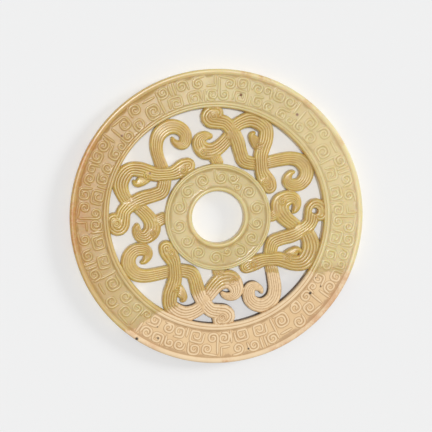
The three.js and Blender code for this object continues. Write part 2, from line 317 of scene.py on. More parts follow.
def limb_path(limb, quarter):
    """A limb's centre line in one quarter, as columns x, y, half width and crest height."""
    angle, radius, half = np.array(limb.varied.get(quarter, limb.stations), float).T
    centre = smooth_path(np.column_stack([place(angle + 90 * quarter, radius), half]), LIMB_STEP)
    return np.column_stack([centre, np.linspace(*limb.crests, len(centre))])


def loops_round(path, shares, beyond, caps=CAP_POINTS):
    """Closed rows round a path, like tracks round a field: at each distance one row runs up the left side,
    round the end in an arc, down the right side and round the start. Distances are shares of the half
    width, or the half width plus `beyond`. Where the half width grows by k a step the rows lean back by the
    sine k, so that each touches the swept circle. Gives points as (row, place, xy) and how far each row
    lies outside the half width."""
    side = sides(path)
    forward = np.column_stack([side[:, 1], -side[:, 0]])
    half = path[:, 2]
    run = lengths_along(path)
    k = np.clip(np.gradient(half, run), -LEAN_LIMIT, LEAN_LIMIT)[:, None]
    left = side * np.sqrt(1 - k ** 2) - forward * k
    right = -side * np.sqrt(1 - k ** 2) - forward * k
    share = np.linspace(0, 1, caps + 2)[1:-1, None]
    lean_end, lean_start = math.acos(-k[-1, 0]), math.acos(-k[0, 0])
    turn = lean_end * (1 - 2 * share)
    end = np.cos(turn) * forward[-1] + np.sin(turn) * side[-1]
    turn = -lean_start - share * (2 * math.pi - 2 * lean_start)
    start = np.cos(turn) * forward[0] + np.sin(turn) * side[0]
    outward = np.vstack([left, end, right[::-1], start])
    up = np.arange(len(path))
    where = np.concatenate([up, np.full(caps, up[-1]), up[::-1], np.zeros(caps, int)])
    reach = np.vstack([np.outer(shares, half[where]), half[where][None, :] + np.array(beyond)[:, None]])
    rows = path[where, :2][None] + reach[..., None] * outward[None]
    return rows, reach - half[where][None, :]


def nearest(points, path, margin):
    """For each point the stretch of path whose edge it is nearest to: (distance less half width, distance,
    share of the way along), from each segment's foot point. Points outside the path's box plus the margin
    get infinity."""
    gap = np.full(len(points), np.inf)
    distance = np.full(len(points), np.inf)
    along = np.zeros(len(points))
    reach = path[:, 2].max() + margin
    low, high = path[:, :2].min(0) - reach, path[:, :2].max(0) + reach
    inside = np.flatnonzero(((points > low) & (points < high)).all(1))
    a, b = path[:-1, :2], path[1:, :2]
    step = b - a
    offset = points[inside, None, :] - a[None]
    t = np.clip((offset * step).sum(2) / (step ** 2).sum(1), 0, 1)
    away = np.linalg.norm(offset - t[..., None] * step[None], axis=2)
    outside = away - (path[:-1, 2] + t * np.diff(path[:, 2]))
    pick = outside.argmin(1)
    row = np.arange(len(inside))
    gap[inside] = outside[row, pick]
    distance[inside] = away[row, pick]
    along[inside] = (pick + t[row, pick]) / len(a)
    return gap, distance, along


def shoulder(gap, depth):
    """A quarter ellipse that falls by depth while the gap goes from -ROUNDED to EDGE."""
    return depth * (1 - np.sqrt(1 - np.clip((gap + ROUNDED) / (EDGE + ROUNDED), 0, 1) ** 2))


def rim_shift(points):
    """How far out the rim's opening lies there: RIM_OUT times the square of the cosine of the angle from
    where it reaches furthest, and nothing on the far side."""
    turned = np.arctan2(points[..., 0], points[..., 1]) - math.radians(RIM_OUT_TOWARDS)
    return RIM_OUT * np.maximum(np.cos(turned), 0) ** 2


def rim_radius(points):
    """The radius in the rim's own profile. A place at profile radius R lies at R plus the shift times
    (RIM_TRUE_R - R) / (RIM_TRUE_R - RIM_INNER_R), so this is that turned round; from RIM_TRUE_R outwards
    nothing moves."""
    r = np.linalg.norm(points, axis=-1)
    share = rim_shift(points) / (RIM_TRUE_R - RIM_INNER_R)
    return np.where(r < RIM_TRUE_R, (r - share * RIM_TRUE_R) / (1 - share), r)


def moved_out(points):
    """The other way round: points laid out by profile radius, moved to where they lie on the rim."""
    r = np.linalg.norm(points, axis=-1, keepdims=True)
    share = rim_shift(points)[..., None] / (RIM_TRUE_R - RIM_INNER_R)
    return points * (1 + share * np.maximum(RIM_TRUE_R - r, 0) / r)


def from_drill(points):
    """How far outside the drilled hole each point lies."""
    return np.linalg.norm(points - DRILL_PLACE, axis=-1) - DRILL_R


def notch(u, centre, half):
    """A V-shaped groove: one at its centre, nothing at half to either side."""
    return np.clip(1 - np.abs(u - centre) / half, 0, 1)


def scroll_path(scroll, quarter):
    """A curl's centre line, in a small frame whose second axis points away from the disc's centre. Its
    radius shrinks from the size to CURL_END of it over the turns, a superellipse squares it, and a straight
    tail leads into it."""
    share = np.linspace(0, 1, CURL_SAMPLES)
    radius = scroll.size * (1 - (1 - CURL_END) * share)
    a = np.radians(scroll.start + 360 * scroll.turns * share)
    power = 2 + 6 * scroll.square * (1 - share)
    box = (np.abs(np.cos(a)) ** power + np.abs(np.sin(a)) ** power) ** (-1 / power)
    local = (radius * box)[:, None] * np.column_stack([np.cos(a), np.sin(a)])
    if scroll.tail:
        leave = local[0] - local[1]
        back = np.linspace(1, 0, TAIL_SAMPLES)[:-1]
        tail = local[0] + np.outer(back, scroll.tail * leave / np.linalg.norm(leave))
        local = np.vstack([tail, local])
    angle = scroll.angle + 90 * quarter
    outward = place(angle, 1.0)
    across = place(angle + 90, 1.0)
    return place(angle, scroll.radius) + local[:, :1] * across + local[:, 1:] * outward


def with_half(xy, half, step):
    """The path evenly spaced, with the half width as a third column that narrows towards both ends."""
    path = spaced(xy, step)
    share = np.linspace(0, 1, len(path))
    taper = np.clip(np.minimum(share, 1 - share) * len(path) / RIDGE_TAPER, 0, 1)
    return np.column_stack([path, half * (RIDGE_TIP + (1 - RIDGE_TIP) * taper)])


def kept_on_band(path, low, high):
    """The path with its radius held between two limits."""
    r = np.linalg.norm(path, axis=1)
    return path * (np.clip(r, low, high) / r)[:, None]


def ridge_paths():
    """Every raised line: (path with half width, rise)."""
    found = []
    for quarter in range(4):
        for scroll in RIM_SCROLLS:
            line = kept_on_band(scroll_path(scroll, quarter), *RIM_LIMITS)
            found.append((with_half(line, RIDGE_HALF, RIDGE_STEP), RIDGE_RISE))
        for (a0, r0), (a1, r1) in RIM_BARS:
            share = np.linspace(0, 1, TAIL_SAMPLES)
            line = place(90 * quarter + a0 + share * (a1 - a0), r0 + share * (r1 - r0))
            found.append((with_half(line, RIDGE_HALF, RIDGE_STEP), RIDGE_RISE))
        for scroll in EYES[:3] if quarter == DRILLED_QUARTER else EYES:
            found.append((with_half(scroll_path(scroll, quarter), EYE_RIDGE, EYE_STEP), EYE_RISE))
    for scroll in RING_SCROLLS:
        line = kept_on_band(scroll_path(scroll, 0), *RING_LIMITS)
        found.append((with_half(line, RIDGE_HALF * RING_SHARE, RIDGE_STEP), RIDGE_RISE * RING_SHARE))
    return found


LIMB_PATHS = [limb_path(limb, q) for q in range(4) for limb in LIMBS.values()]
LIMB_GROOVED = [limb.grooved for q in range(4) for limb in LIMBS.values()]
RIDGES = ridge_paths()
EYE_PLACES = np.array([place(eye.angle + 90 * q, eye.radius) for q in range(4) for eye in EYES])
DRILL_PLACE = place(DRILL_ANGLE, DRILL_RADIUS)


def profile(face, inner, outer, near_inner, near_outer):
    """Radius and height along a ring's face, from the wall at its inner edge outwards. Each pair gives how
    far out from the inner radius it lies, or how far in from the outer one, and its depth in the stone. The
    height is the face's level plus its sense times the depth."""
    level, sense = face
    return ([(inner + out, level + sense * depth) for out, depth in near_inner]
            + [(outer - back, level + sense * depth) for back, depth in near_outer])


FRONT = (THICKNESS, -1)
RIM_FRONT = profile(
    FRONT, RIM_INNER_R, OUTER_R,
    [(-EDGE, EDGE_DEPTH), (-0.38, 0.52), (-0.2, 0.16), (0.1, 0), (RIM_LINE, 0),
     (RIM_LINE + LINE_HALF, LINE_DEPTH), (RIM_LINE + 2 * LINE_HALF, 0), (LIP_WIDTH, 0),
     (LIP_WIDTH + SLOPE, BAND_DEPTH)],
    [(LIP_WIDTH + SLOPE, BAND_DEPTH), (LIP_WIDTH, 0), (0.7, 0), (0.25, 0.12), (0, 0.5)])
RING_FRONT = profile(
    FRONT, HOLE_R, RING_OUTER_R,
    [(-EDGE, EDGE_DEPTH), (-0.38, 0.6), (-0.2, 0.2), (0.1, 0), (RING_LIP - SLOPE, 0),
     (RING_LIP, BAND_DEPTH)],
    [(RING_OUTER_LIP + SLOPE, BAND_DEPTH), (RING_OUTER_LIP, 0.02), (RING_OUTER_LIP - 2 * LINE_HALF, 0),
     (RING_OUTER_LIP - 3 * LINE_HALF, LINE_DEPTH), (RING_OUTER_LIP - 4 * LINE_HALF, 0), (0.35, 0.04),
     (0.12, 0.22), (0, 0.6)])

# The underside, with the roundness of its edges, the depth of the line by each border, and where its rows
# run outside a limb's half width
BACK_ROUND = 0.7
BACK_LIFT = 0.4
BACK_LINE = 0.12
BACK_ROWS = (-0.25, 0.12, 0.36)
BACK = (0, 1)
BACK_INNER = [(-EDGE, 0.45), (-0.35, 0.15), (-0.1, 0)]
BACK_OUTER = [(0.5, 0), (0.15, 0.15), (0, 0.45)]
RIM_BACK = profile(
    BACK, RIM_INNER_R, OUTER_R,
    BACK_INNER + [(1.7, 0), (1.9, BACK_LINE), (2.1, 0)], [(2.2, 0), (2.0, BACK_LINE), (1.8, 0)] + BACK_OUTER)
RING_BACK = profile(
    BACK, HOLE_R, RING_OUTER_R,
    BACK_INNER + [(1.2, 0), (1.4, BACK_LINE), (1.6, 0)], [(1.8, 0), (1.6, BACK_LINE), (1.4, 0)] + BACK_OUTER)


def beside_higher(gaps, crests, own_crest):
    """The gap to the nearest layer that passes over one with this crest."""
    return np.where(crests > own_crest + OVER, gaps, np.inf).min(0)


def rings_at(points):
    """For the rim and for the inner ring, how far outside its front edges each point lies and the radius in
    its profile; both end where the gap is EDGE."""
    rim, ring = rim_radius(points), np.linalg.norm(points, axis=1)
    return ((np.maximum(RIM_INNER_R - rim, rim - OUTER_R + EDGE), rim),
            (np.maximum(HOLE_R - ring, ring - RING_OUTER_R + EDGE), ring))


def layers_at(points):
    """Front height, gap and crest of each layer at each point, as (layer, point): the limbs, the rim, the
    ring. A limb's height is its crest, less the crown times the square of the share of the way out, less
    its grooves, and outside its half width less the shoulder. Where a layer doesn't reach, its height is
    minus infinity."""
    eye = np.linalg.norm(points[:, None, :] - EYE_PLACES[None], axis=2).min(1)
    plain = np.clip((eye - EYE_CLEAR + EYE_FADE) / EYE_FADE, 0, 1)
    heights, gaps, crests = [], [], []
    for path, grooved in zip(LIMB_PATHS, LIMB_GROOVED):
        gap, distance, along = nearest(points, path, LIMB_REACH)
        reached = gap <= EDGE + TOUCH
        crest = path[0, 3] + (path[-1, 3] - path[0, 3]) * along
        half = np.where(reached, distance, 1.0) - np.where(reached, gap, 0.0)
        u = np.where(reached, np.minimum(distance, half) / np.maximum(half, LEAST), 0)
        fade = np.clip((half - GROOVED_FROM) / GROOVED_FADE, 0, 1) * plain * grooved
        lines = sum(notch(u, g, GROOVE_HALF) for g in GROOVES)
        z = crest - CROWN * u ** 2 - GROOVE_DEPTH * fade * lines
        z = z - shoulder(gap, z - WALL_TOP)
        heights.append(np.where(reached, z, -np.inf))
        gaps.append(gap)
        crests.append(crest)
    for (gap, r), front in zip(rings_at(points), (RIM_FRONT, RING_FRONT)):
        radii, z = np.array(front).T
        heights.append(np.where(gap <= EDGE + TOUCH, np.interp(r, radii, z), -np.inf))
        gaps.append(gap)
        crests.append(np.full(len(points), RINGS_CREST))
    return np.array(heights), np.array(gaps), np.array(crests)


def relief_at(points):
    """Height of the raised lines above their ground, and the gap to the nearest one: the rise times one
    less the square of the distance over the half width."""
    rise = np.zeros(len(points))
    gap = np.full(len(points), np.inf)
    for path, height in RIDGES:
        outside, distance, _ = nearest(points, path, RIDGE_REACH)
        near = np.isfinite(outside)
        half = np.where(near, distance, 1.0) - np.where(near, outside, 0.0)
        u = np.clip(np.where(near, distance / half, 1), 0, 1)
        rise = np.maximum(rise, height * (1 - u ** 2))
        gap = np.minimum(gap, outside)
    return rise, gap


def front_ground(points):
    """The front face under the raised lines: the highest layer, cut down beside a higher limb's edge, with
    the drilled hole's bevel and a slow unevenness from grinding by hand."""
    heights, gaps, crests = layers_at(points)
    top = heights.argmax(0)
    z = heights.max(0)
    beside = beside_higher(gaps, crests, crests[top, np.arange(len(points))])
    z = z - CUT_DEPTH * np.clip(1 - (beside - FOOT) / CUT_REACH, 0, 1) * (z > CUT_ABOVE)
    away = from_drill(points)
    bevel = WALL_TOP + (CREST - WALL_TOP) * np.sqrt(np.clip(away / DRILL_BEVEL, 0, 1))
    z = np.where(away < DRILL_BEVEL, np.minimum(z, bevel), z)
    x, y = points.T
    broad = np.sin(0.31 * x + 0.17 * y) * np.sin(0.23 * y - 0.11 * x + 1)
    uneven = broad + 0.5 * np.sin(0.57 * x - 0.41 * y + 2)
    return np.minimum(z + UNEVEN * uneven - UNEVEN, THICKNESS)


def back_height(points):
    """The underside: the lowest layer. The rings lie on the surface below, with a shallow line by each
    border, and the limbs clear it by the undercut; every edge is rounded up by a quarter ellipse."""
    z = np.full(len(points), np.inf)
    for path in LIMB_PATHS:
        gap, _, _ = nearest(points, path, LIMB_REACH)
        share = np.clip((gap + BACK_ROUND - EDGE) / BACK_ROUND, 0, 1)
        lifted = UNDERCUT + BACK_LIFT * (1 - np.sqrt(1 - share ** 2))
        z = np.where(gap <= EDGE + TOUCH, np.minimum(z, lifted), z)
    for (gap, r), back in zip(rings_at(points), (RIM_BACK, RING_BACK)):
        radii, lifted = np.array(back).T
        z = np.where(gap <= EDGE + TOUCH, np.minimum(z, np.interp(r, radii, lifted)), z)
    return z


def cut_back(rows, clearance):
    """Rows without the places that something else covers. Where a row goes under, its last covered point
    slides along to where the clearance passes zero. Gives the rows, which places are kept, and which of
    them have slid."""
    clearance = np.clip(clearance, -1, 1)
    free = clearance >= 0
    rows, slid = rows.copy(), np.zeros_like(free)
    for way in (-1, 1):
        next_clear, next_place = np.roll(clearance, way, axis=1), np.roll(rows, way, axis=1)
        slides = ~free & ~slid & (next_clear >= 0)
        share = next_clear[slides] / (next_clear[slides] - clearance[slides])
        rows[slides] = next_place[slides] + share[:, None] * (rows[slides] - next_place[slides])
        slid |= slides
    return rows, free | slid, slid


class Net:
    """Points in the plane, gathered row by row, with the edges along the rows."""

    def __init__(self):
        self.points, self.edges, self.rim, self.corner, self.count = [], [], [], [], 0

    def add(self, rows, kept, closed=True, rim=False, slid=None):
        """Adds rows (row, place, xy); neighbours along a row that are both kept get an edge. rim marks the
        outline."""
        index = np.full(kept.shape, -1)
        index[kept] = self.count + np.arange(kept.sum())
        after = np.roll(index, -1, axis=1)
        joined = (index >= 0) & (after >= 0)
        if not closed:
            joined[:, -1] = False
        self.points.append(rows[kept])
        self.edges.append(np.column_stack([index[joined], after[joined]]))
        self.rim.append(np.full(kept.sum(), rim))
        self.corner.append(slid[kept] & rim if slid is not None else np.zeros(kept.sum(), bool))
        self.count += int(kept.sum())

    def gathered(self):
        """All points and edges, and which points are on the outline. Corners where two outlines meet are
        drawn together into one point."""
        points, edges = np.vstack(self.points), np.vstack(self.edges)
        rim, corner = np.concatenate(self.rim), np.flatnonzero(np.concatenate(self.corner))
        apart = np.linalg.norm(points[corner, None] - points[None, corner], axis=2)
        np.fill_diagonal(apart, np.inf)
        mate = apart.argmin(1)
        close = (apart.min(1) < CORNER_REACH) & (mate[mate] == np.arange(len(corner)))
        points[corner[close]] = (points[corner[close]] + points[corner[mate[close]]]) / 2
        cell = np.round(points / SAME).astype(int)
        _, first, same = np.unique(cell, axis=0, return_index=True, return_inverse=True)
        same = same.ravel()
        flags = np.zeros(len(first), bool)
        np.logical_or.at(flags, same, rim)
        edges = np.unique(np.sort(same[edges], axis=1), axis=0)
        return points[first], edges[edges[:, 0] != edges[:, 1]], flags


def circle(radius, step=CIRCLE_STEP):
    """A row of points round the disc's centre, about a step apart."""
    count = int(np.ceil(2 * np.pi * radius / step))
    return place(np.arange(count) * 360 / count, radius)[None]


def others_at(points, own):
    """(own height less the highest other, smallest gap of the others, own gap, gap to a higher layer) of
    each point."""
    heights, gaps, crests = layers_at(points)
    rest = np.arange(len(heights)) != own
    over = np.maximum(heights[own], FAR_BELOW) - np.maximum(heights[rest].max(0), FAR_BELOW)
    return over, gaps[rest].min(0), gaps[own], beside_higher(gaps[rest], crests[rest], crests[own])


def front_net():
    """The front's points: tracks round every limb, circles along the rings, rows along every raised
    line."""
    net = Net()
    for own, path in enumerate(LIMB_PATHS):
        rows, outside = loops_round(path, FRONT_SHARES, FRONT_BEYOND)
        over, apart, gap, beside = (v.reshape(outside.shape) for v in others_at(rows.reshape(-1, 2), own))
        drill = from_drill(rows) - DRILL_BEVEL - DRILL_CLEAR
        clear = np.minimum(np.minimum(over + 0.01, beside - FOOT - KEEP_OFF), drill)
        clear[-2] = np.minimum(np.minimum(over[-2] + FOOT_STEP, beside[-2] - FOOT - KEEP_OFF), drill[-2])
        clear[-1] = apart[-1] - EDGE
        clear = np.minimum(clear, gap - outside + FOLD)
        rows, kept, slid = cut_back(rows, clear)
        net.add(rows[:-1], kept[:-1])
        net.add(rows[-1:], kept[-1:], rim=True, slid=slid[-1:])
    for own, front in ((len(LIMB_PATHS), RIM_FRONT), (len(LIMB_PATHS) + 1, RING_FRONT)):
        radii = [r for r, _ in front]
        for r in radii:
            row = moved_out(circle(r)) if front is RIM_FRONT else circle(r)
            over, apart, _, _ = (v[None] for v in others_at(row[0], own))
            edge = r in (radii[0], radii[-1])
            clear = apart - EDGE if edge else over + FOOT_STEP
            row, kept, slid = cut_back(row, clear)
            net.add(row, kept, rim=edge, slid=slid)
    for path, _ in RIDGES:
        rows, outside = loops_round(path, RIDGE_SHARES, (RIDGE_FOOT,), RIDGE_CAP_POINTS)
        _, gap = relief_at(rows.reshape(-1, 2))
        rows, kept, _ = cut_back(rows, gap.reshape(outside.shape) - outside + FOLD)
        net.add(rows, kept)
        net.add(path[None, :, :2], np.ones((1, len(path)), bool), closed=False)
    for away in (0.0, DRILL_BEVEL * 0.25, DRILL_BEVEL):
        ring = DRILL_PLACE + circle(DRILL_R + away, DRILL_STEP)
        net.add(ring, np.ones(ring.shape[:2], bool), rim=away == 0.0)
    rim_band = (RIM_INNER_R + LIP_WIDTH, OUTER_R - LIP_WIDTH)
    ring_band = (HOLE_R + RING_LIP, RING_OUTER_R - RING_OUTER_LIP)
    for band in (rim_band, ring_band):
        for r in np.arange(band[0] + 1.2, band[1] - 0.8, BAND_STEP):
            row = moved_out(circle(r, BAND_STEP)) if band is rim_band else circle(r, BAND_STEP)
            _, gap = relief_at(row[0])
            net.add(row, (gap > RIDGE_FOOT + RIDGE_CLEAR)[None])
    return net


def back_points(outline):
    """The underside's points: the front's own outline, tracks just inside it round every limb, and
    circles."""
    rows_of = [outline]
    for own, path in enumerate(LIMB_PATHS):
        rows, outside = loops_round(path, (), BACK_ROWS)
        _, apart, gap, _ = (v.reshape(outside.shape) for v in others_at(rows.reshape(-1, 2), own))
        drill = from_drill(rows) - DRILL_BACK_CLEAR
        clear = np.minimum(np.minimum(apart - outside, gap - outside + FOLD), drill)
        rows_of.append(rows[clear >= 0])
    for back in (RIM_BACK, RING_BACK):
        flat = [circle(r, BACK_STEP)[0] for r, _ in back[1:-1]]
        rows_of += [moved_out(row) for row in flat] if back is RIM_BACK else flat
    return np.vstack(rows_of)


def triangles(points, edges):
    """A Delaunay triangulation that keeps the edges: (points, faces turned counter-clockwise, input of each
    point)."""
    made = delaunay_2d_cdt([Vector(p) for p in points.tolist()], edges.tolist(), [], 0, LEAST)
    corners = np.array([v[:] for v in made[0]], float)
    faces = np.array([f[:] for f in made[2]])
    a, b, c = (corners[faces[:, k]] for k in range(3))
    turn = (b[:, 0] - a[:, 0]) * (c[:, 1] - a[:, 1]) - (b[:, 1] - a[:, 1]) * (c[:, 0] - a[:, 0])
    faces[turn < 0] = faces[turn < 0][:, ::-1]
    origin = np.array([o[0] if o else -1 for o in made[3]])
    return corners, faces[np.abs(turn) > LEAST_TURN], origin


def edges_of(faces):
    """The three directed edges of every triangle."""
    return np.vstack([faces[:, [0, 1]], faces[:, [1, 2]], faces[:, [2, 0]]])


def patches_of(faces):
    """The patch that each face belongs to: each takes the smallest number among its own and its neighbours'
    until nothing changes."""
    half = np.sort(edges_of(faces), axis=1)
    order = np.lexsort(half.T)
    same = (np.diff(half[order], axis=0) == 0).all(1)
    owner = np.tile(np.arange(len(faces)), 3)[order]
    a, b = owner[:-1][same], owner[1:][same]
    patch = np.arange(len(faces))
    while True:
        smaller = patch.copy()
        np.minimum.at(smaller, a, patch[b])
        np.minimum.at(smaller, b, patch[a])
        smaller = smaller[smaller]
        if (smaller == patch).all():
            return patch
        patch = smaller


def in_stone(corners, faces, on_rim):
    """Which faces lie in the stone: those with a corner off the outline, or with their middle well inside
    it. Specks of stone or of nothing, smaller than the smallest hole, go over to their surroundings."""
    stone = ~on_rim[faces].all(1)
    doubtful = np.flatnonzero(~stone)
    middle = corners[faces[doubtful]].mean(1)
    _, gaps, _ = layers_at(middle)
    stone[doubtful] = (gaps.min(0) < EDGE - WELL_INSIDE) & (from_drill(middle) > 0)
    a, b, c = (corners[faces[:, k]] for k in range(3))
    area = np.abs((b - a)[:, 0] * (c - a)[:, 1] - (b - a)[:, 1] * (c - a)[:, 0]) / 2
    for kind in (False, True):
        own = np.flatnonzero(stone == kind)
        patch = patches_of(faces[own])
        total = np.bincount(patch, area[own])
        stone[own[total[patch] < SPECK]] = not kind
    return stone


def wound_round(points, starts, ends):
    """How often directed edges run anticlockwise round each point: those that cross the level of the point
    upwards on its right count one, and those that cross it downwards there count minus one."""
    x, y = points[:, :1], points[:, 1:]
    along = (ends - starts).T
    left = along[0] * (y - starts[:, 1]) - along[1] * (x - starts[:, 0]) > 0
    up = (starts[:, 1] <= y) & (ends[:, 1] > y)
    down = (starts[:, 1] > y) & (ends[:, 1] <= y)
    return (up & left).sum(1) - (down & ~left).sum(1)


def open_edges(faces):
    """The directed edges of faces that no neighbour runs the other way."""
    half = edges_of(faces)
    many = int(faces.max()) + 1
    return half[~np.isin(half[:, 0] * many + half[:, 1], half[:, 1] * many + half[:, 0])]


def outline_height(points):
    """The height of the front's outline: the top of the wall, or the last height of a ring's front on its
    outer edge."""
    r = np.linalg.norm(points, axis=1)
    on_ring = np.where(np.abs(r - RING_OUTER_R) < ON_EDGE, RING_FRONT[-1][1], WALL_TOP)
    return np.where(r > OUTER_R - ON_EDGE, RIM_FRONT[-1][1], on_ring)


def hollowness(z, faces, rounds):
    """How far each point lies below its surroundings: after rounds of averaging the heights with the
    neighbours', the average less the point's own height."""
    pairs = edges_of(faces)
    pairs = np.vstack([pairs, pairs[:, ::-1]])
    count = np.maximum(np.bincount(pairs[:, 0], minlength=len(z)), 1)
    mean = z.copy()
    for _ in range(rounds):
        around = (1 - HOLLOW_OWN) * np.bincount(pairs[:, 0], mean[pairs[:, 1]], len(z)) / count
        mean = HOLLOW_OWN * mean + around
    return mean - z


def disc_skin():
    """The disc's closed skin in mm: the front, a wall in two courses, and the underside, which shares the
    front's outline. Gives vertices, triangles, quads and each vertex's hollowness, with painted shade added
    along the ridges' feet and a painted highlight that takes it below nothing on the ridges."""
    points, edges, rim = front_net().gathered()
    corners, faces, origin = triangles(points, edges)
    faces = faces[in_stone(corners, faces, (origin >= 0) & rim[origin])]
    edge = open_edges(faces)
    outline, loop = np.unique(edge, return_inverse=True)
    loop = loop.reshape(edge.shape)
    ground = front_ground(corners)
    ground[outline] = outline_height(corners[outline])
    ground = np.where(np.isfinite(ground), ground, WALL_TOP)
    rise, gap = relief_at(corners)
    rise[outline] = 0
    z = np.minimum(ground + rise, THICKNESS)
    hollow_and_painted_light = hollowness(ground, faces, HOLLOW_ROUNDS)
    # Painted shade along each ridge's foot, and a painted highlight on the ridges, go into the hollowness
    hollow_and_painted_light = hollow_and_painted_light + PAINTED_FOOT_SHADE * np.clip(1 - np.abs(gap) / RIDGE_FOOT, 0, 1)
    hollow_and_painted_light -= PAINTED_RIDGE_HIGHLIGHT * rise / RIDGE_RISE
    hollow_and_painted_light[outline] = 0

    low, low_faces, low_origin = triangles(back_points(corners[outline]), loop)
    shared = (low_origin >= 0) & (low_origin < len(outline))
    inner = ~shared[low_faces].all(1)
    doubtful = np.flatnonzero(~inner)
    middle = low[low_faces[doubtful]].mean(1)
    inner[doubtful] = wound_round(middle, corners[edge[:, 0]], corners[edge[:, 1]]) > 0
    low_faces = low_faces[inner]
    low_of = np.empty(len(outline), int)
    low_of[low_origin[shared]] = np.flatnonzero(shared)
    low_z = back_height(low)
    low_z = np.where(np.isfinite(low_z), low_z, UNDERCUT + BACK_LIFT)

    many = len(corners)
    course = many + np.arange(len(outline))
    bottom = many + len(outline) + low_of
    middle_z = 0.5 * (z[outline] + low_z[low_of])
    vertices = np.vstack([
        np.column_stack([corners, z]),
        np.column_stack([corners[outline], middle_z]),
        np.column_stack([low, low_z])])
    i, j = loop[:, 0], loop[:, 1]
    quads = np.vstack([
        np.column_stack([outline[j], outline[i], course[i], course[j]]),
        np.column_stack([course[j], course[i], bottom[i], bottom[j]])])
    faces = np.vstack([faces, low_faces[:, ::-1] + many + len(outline)])
    hollow_and_painted_light = np.concatenate([hollow_and_painted_light, np.zeros(len(outline) + len(low))])
    used, number = np.unique(np.concatenate([faces.ravel(), quads.ravel()]), return_inverse=True)
    faces, quads = number[:faces.size].reshape(faces.shape), number[faces.size:].reshape(quads.shape)
    return vertices[used], faces, quads, hollow_and_painted_light[used]


def added(name, data):
    """A new object in the scene."""
    made = bpy.data.objects.new(name, data)
    bpy.context.scene.collection.objects.link(made)
    return made


def disc_piece():
    """The disc as one object, in metres, smooth but for its sharp edges."""
    vertices, faces, quads, hollow_and_painted_light = disc_skin()
    mesh = bpy.data.meshes.new("carved_disc")
    mesh.from_pydata((vertices * MM).tolist(), [], faces.tolist() + quads.tolist())
    # The hollowness carries painted shade along the ridges' feet and a painted highlight on the ridges
    mesh.attributes.new("hollow_and_painted_light", "FLOAT", "POINT").data.foreach_set("value", hollow_and_painted_light.astype(np.float32))
    mesh.shade_smooth()
    mesh.set_sharp_from_angle(angle=math.radians(SHARP_ANGLE))
    return added("carved_disc", mesh)


class Number:
    """A number in a node tree. Sums, differences, products and quotients add their Math nodes."""

    def __init__(self, tree, socket):
        self.tree, self.socket = tree, socket

    def __add__(self, other):
        return self.tree.math("ADD", self, other)

    def __sub__(self, other):
        return self.tree.math("SUBTRACT", self, other)

    def __rsub__(self, other):
        return self.tree.math("SUBTRACT", other, self)

    def __mul__(self, other):
        return self.tree.math("MULTIPLY", self, other)

    def __truediv__(self, other):
        return self.tree.math("DIVIDE", self, other)

    __radd__ = __add__
    __rmul__ = __mul__


class Tree:
    """One material's nodes."""

    def __init__(self, name):
        self.material = bpy.data.materials.new(name)
        self.material.use_nodes = True
        self.nodes = self.material.node_tree.nodes
        self.links = self.material.node_tree.links
        self.nodes.clear()

    def node(self, kind, settings=(), sockets=()):
        """A node: its settings first, then a value or a link for each socket, by name or place."""
        made = self.nodes.new("ShaderNode" + kind)
        for name, value in dict(settings).items():
            setattr(made, name, value)
        for name, value in dict(sockets).items():
            self.put(value, made.inputs[name])
        return made

    def put(self, value, socket):
        """Links a number or an output to a socket, or sets the socket to a constant."""
        value = value.socket if isinstance(value, Number) else value
        if isinstance(value, bpy.types.NodeSocket):
            self.links.new(value, socket)
        else:
            socket.default_value = value

    def math(self, operation, *values):
        """A Math node on values."""
        made = self.node("Math", {"operation": operation}, enumerate(values))
        return Number(self, made.outputs[0])

    def vector(self, operation, *values, result=0):
        """A Vector Math node on values; result picks its vector, 0, or its number, 1."""
        made = self.node("VectorMath", {"operation": operation}, enumerate(values))
        return made.outputs[result]

    def ramp(self, value, low, high):
        """From nothing at low to one at high, smoothly; low may be above high."""
        made = self.node("MapRange", {"interpolation_type": "SMOOTHSTEP"}, {
            "Value": value, "From Min": min(low, high), "From Max": max(low, high),
            "To Min": 0.0 if low < high else 1.0, "To Max": 1.0 if low < high else 0.0})
        return Number(self, made.outputs["Result"])

    def noise(self, where, scale, detail, roughness):
        """Noise between nothing and one; where is in mm and scale is in waves per mm."""
        made = self.node("TexNoise", {}, {
            "Vector": where, "Scale": scale, "Detail": detail, "Roughness": roughness})
        return Number(self, made.outputs["Fac"])

    def mix(self, share, first, second):
        """The first colour turning into the second as the share goes from nothing to one."""
        made = self.node("Mix", {"data_type": "RGBA", "clamp_factor": True}, {
            "Factor": share, 6: first, 7: second})
        return made.outputs[2]

    def washed(self, base, *washes):
        """A colour with others laid over it in turn, each given as (share, colour)."""
        for share, tint in washes:
            base = self.mix(share, base, tint)
        return base

    def spot(self, where, angle, radius, size):
        """One near a place on the disc's face, falling to nothing between half a size and 1.6 sizes away."""
        x, y = place(angle, radius)
        away = self.vector("DISTANCE", where, (x, y, THICKNESS), result=1)
        return self.ramp(Number(self, away), 1.6 * size, 0.5 * size)

    def arc(self, where, r, angle, reach, low, high):
        """One along an arc of the rim, fading out over its reach in degrees; low and high are radii where
        it starts and is full."""
        towards = (*place(angle, 1.0), 0.0)
        cosine = Number(self, self.vector("DOT_PRODUCT", where, towards, result=1)) / r
        near = self.ramp(cosine, math.cos(math.radians(reach)), math.cos(math.radians(reach * 0.4)))
        return near * self.ramp(r, low, high)

    def largest(self, *values):
        """The largest of several values."""
        out = values[0]
        for value in values[1:]:
            out = self.math("MAXIMUM", out, value)
        return out


def colour(red, green, blue):
    """A screen colour from 0 to 255 as a linear one: ((c + 0.055) / 1.055) to the power 2.4, or c / 12.92
    if small."""
    linear = [c / 3294.6 if c < 10.3 else ((c / 255 + 0.055) / 1.055) ** 2.4 for c in (red, green, blue)]
    return (*linear, 1.0)


